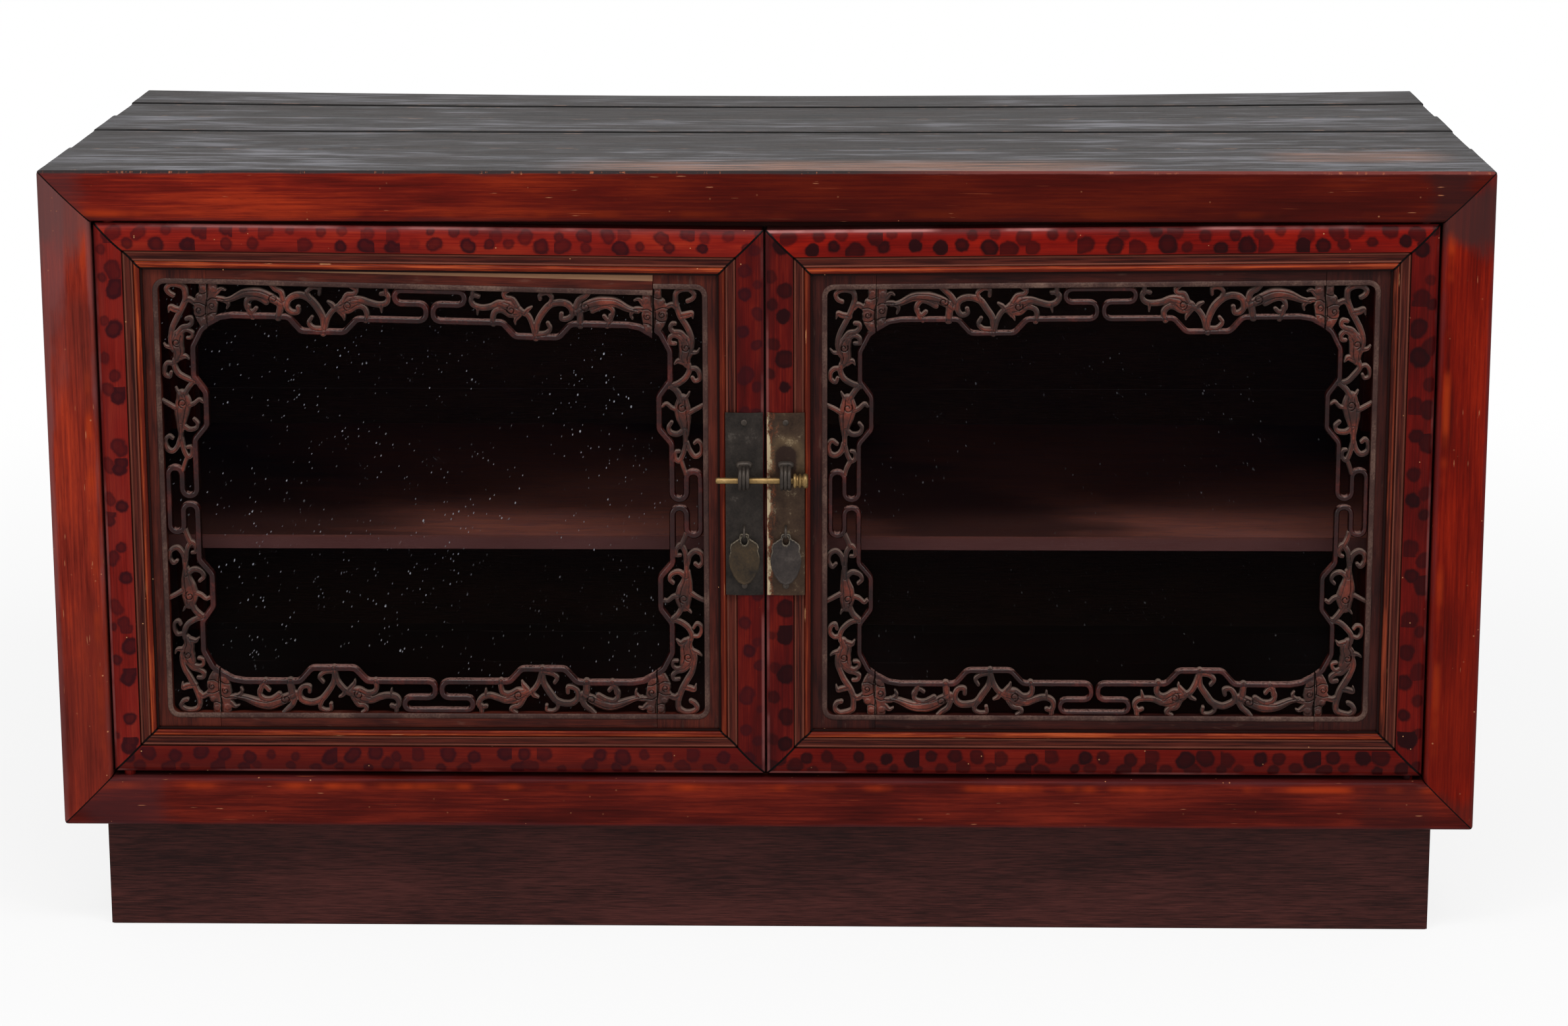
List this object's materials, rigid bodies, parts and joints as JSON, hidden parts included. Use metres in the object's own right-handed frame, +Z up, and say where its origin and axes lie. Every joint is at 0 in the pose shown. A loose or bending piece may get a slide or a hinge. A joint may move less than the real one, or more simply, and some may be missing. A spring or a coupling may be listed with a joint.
{
  "type": "book cabinet",
  "caption": "Low wide wooden book cabinet with glazed doors framed in openwork carving, a sliding lock pin, hanging pulls and an inner shelf on a plinth.",
  "frame": {"origin": "middle of the bounding box on the floor, under the plinth", "axes": "+Z up, +X to the right of a person facing the doors, the front faces -Y"},
  "size_m": [1.3, 0.5674, 0.72],
  "materials": {
    "frame_lacquer": "worn red-brown lacquer over figured hardwood",
    "door_lacquer": "glossy red lacquer with dark speckles and orange bead",
    "carved_panels": "carved hardwood, dusty in the recesses",
    "top_boards": "weathered bare grain, grey-brown",
    "plinth": "dark satin stain",
    "inner_wood": "dim maroon stain",
    "glass": "clear pane with dust specks",
    "dark_bronze": "blackened bronze",
    "worn_brass": "patinated brass with worn bright edges",
    "bright_brass": "polished brass"
  },
  "bodies": {
    "case": {"front_bottom_rail": "frame_lacquer", "front_right_stile": "frame_lacquer", "front_top_rail": "frame_lacquer", "front_left_stile": "frame_lacquer", "rear_left_post": "frame_lacquer", "rear_right_post": "frame_lacquer", "left_top_side_rail": "frame_lacquer", "right_top_side_rail": "frame_lacquer", "left_bottom_side_rail": "frame_lacquer", "right_bottom_side_rail": "frame_lacquer", "left_side_panel": "frame_lacquer", "right_side_panel": "frame_lacquer", "rear_top_rail": "frame_lacquer", "rear_bottom_rail": "frame_lacquer", "back_boards": "inner_wood", "floor_boards": "inner_wood", "floor_bearer": "inner_wood", "top_boards": "top_boards", "shelf": "inner_wood", "shelf_cleats": "inner_wood", "top_door_stop": "inner_wood", "bottom_door_stop": "inner_wood", "plinth_front": "plinth", "plinth_right": "plinth", "plinth_back": "plinth", "plinth_left": "plinth", "plinth_corner_blocks": "plinth"},
    "left_door": {"left_bottom_rail": "door_lacquer", "left_lock_stile": "door_lacquer", "left_top_rail": "door_lacquer", "left_hinge_stile": "door_lacquer", "left_hinge_openwork": "carved_panels", "left_lock_openwork": "carved_panels", "left_top_openwork": "carved_panels", "left_bottom_openwork": "carved_panels", "left_glass": "glass", "left_glazing_beads": "inner_wood", "left_lock_plate": "dark_bronze", "left_plate_nails": "worn_brass", "left_pin_loop": "dark_bronze", "left_pull_staple": "dark_bronze"},
    "left_pull": {"left_pull": "dark_bronze"},
    "right_door": {"right_bottom_rail": "door_lacquer", "right_lock_stile": "door_lacquer", "right_top_rail": "door_lacquer", "right_hinge_stile": "door_lacquer", "right_hinge_openwork": "carved_panels", "right_lock_openwork": "carved_panels", "right_top_openwork": "carved_panels", "right_bottom_openwork": "carved_panels", "right_glass": "glass", "right_glazing_beads": "inner_wood", "right_lock_plate": "worn_brass", "right_plate_nails": "worn_brass", "right_pin_loop": "dark_bronze", "right_pull_staple": "dark_bronze"},
    "right_pull": {"right_pull": "dark_bronze"},
    "lock_pin": {"lock_pin": "bright_brass"}
  },
  "joints": [
    {"name": "left_door_swing", "type": "hinge", "parent": "case", "child": "left_door", "pos_m": [-0.5895, -0.25135, 0.4], "axis": [0, 0, -1], "range_deg": [0, 95]},
    {"name": "right_door_swing", "type": "hinge", "parent": "case", "child": "right_door", "pos_m": [0.5895, -0.25135, 0.4], "axis": [0, 0, 1], "range_deg": [0, 95]},
    {"name": "lock_pin_slide", "type": "slide", "parent": "right_door", "child": "lock_pin", "axis": [1, 0, 0], "range_m": [0, 0.057]},
    {"name": "left_pull_swing", "type": "hinge", "parent": "left_door", "child": "left_pull", "pos_m": [-0.0188, -0.26775, 0.39], "axis": [-1, 0, 0], "range_deg": [0, 80]},
    {"name": "right_pull_swing", "type": "hinge", "parent": "right_door", "child": "right_pull", "pos_m": [0.0188, -0.26775, 0.39], "axis": [-1, 0, 0], "range_deg": [0, 80]}
  ]
}
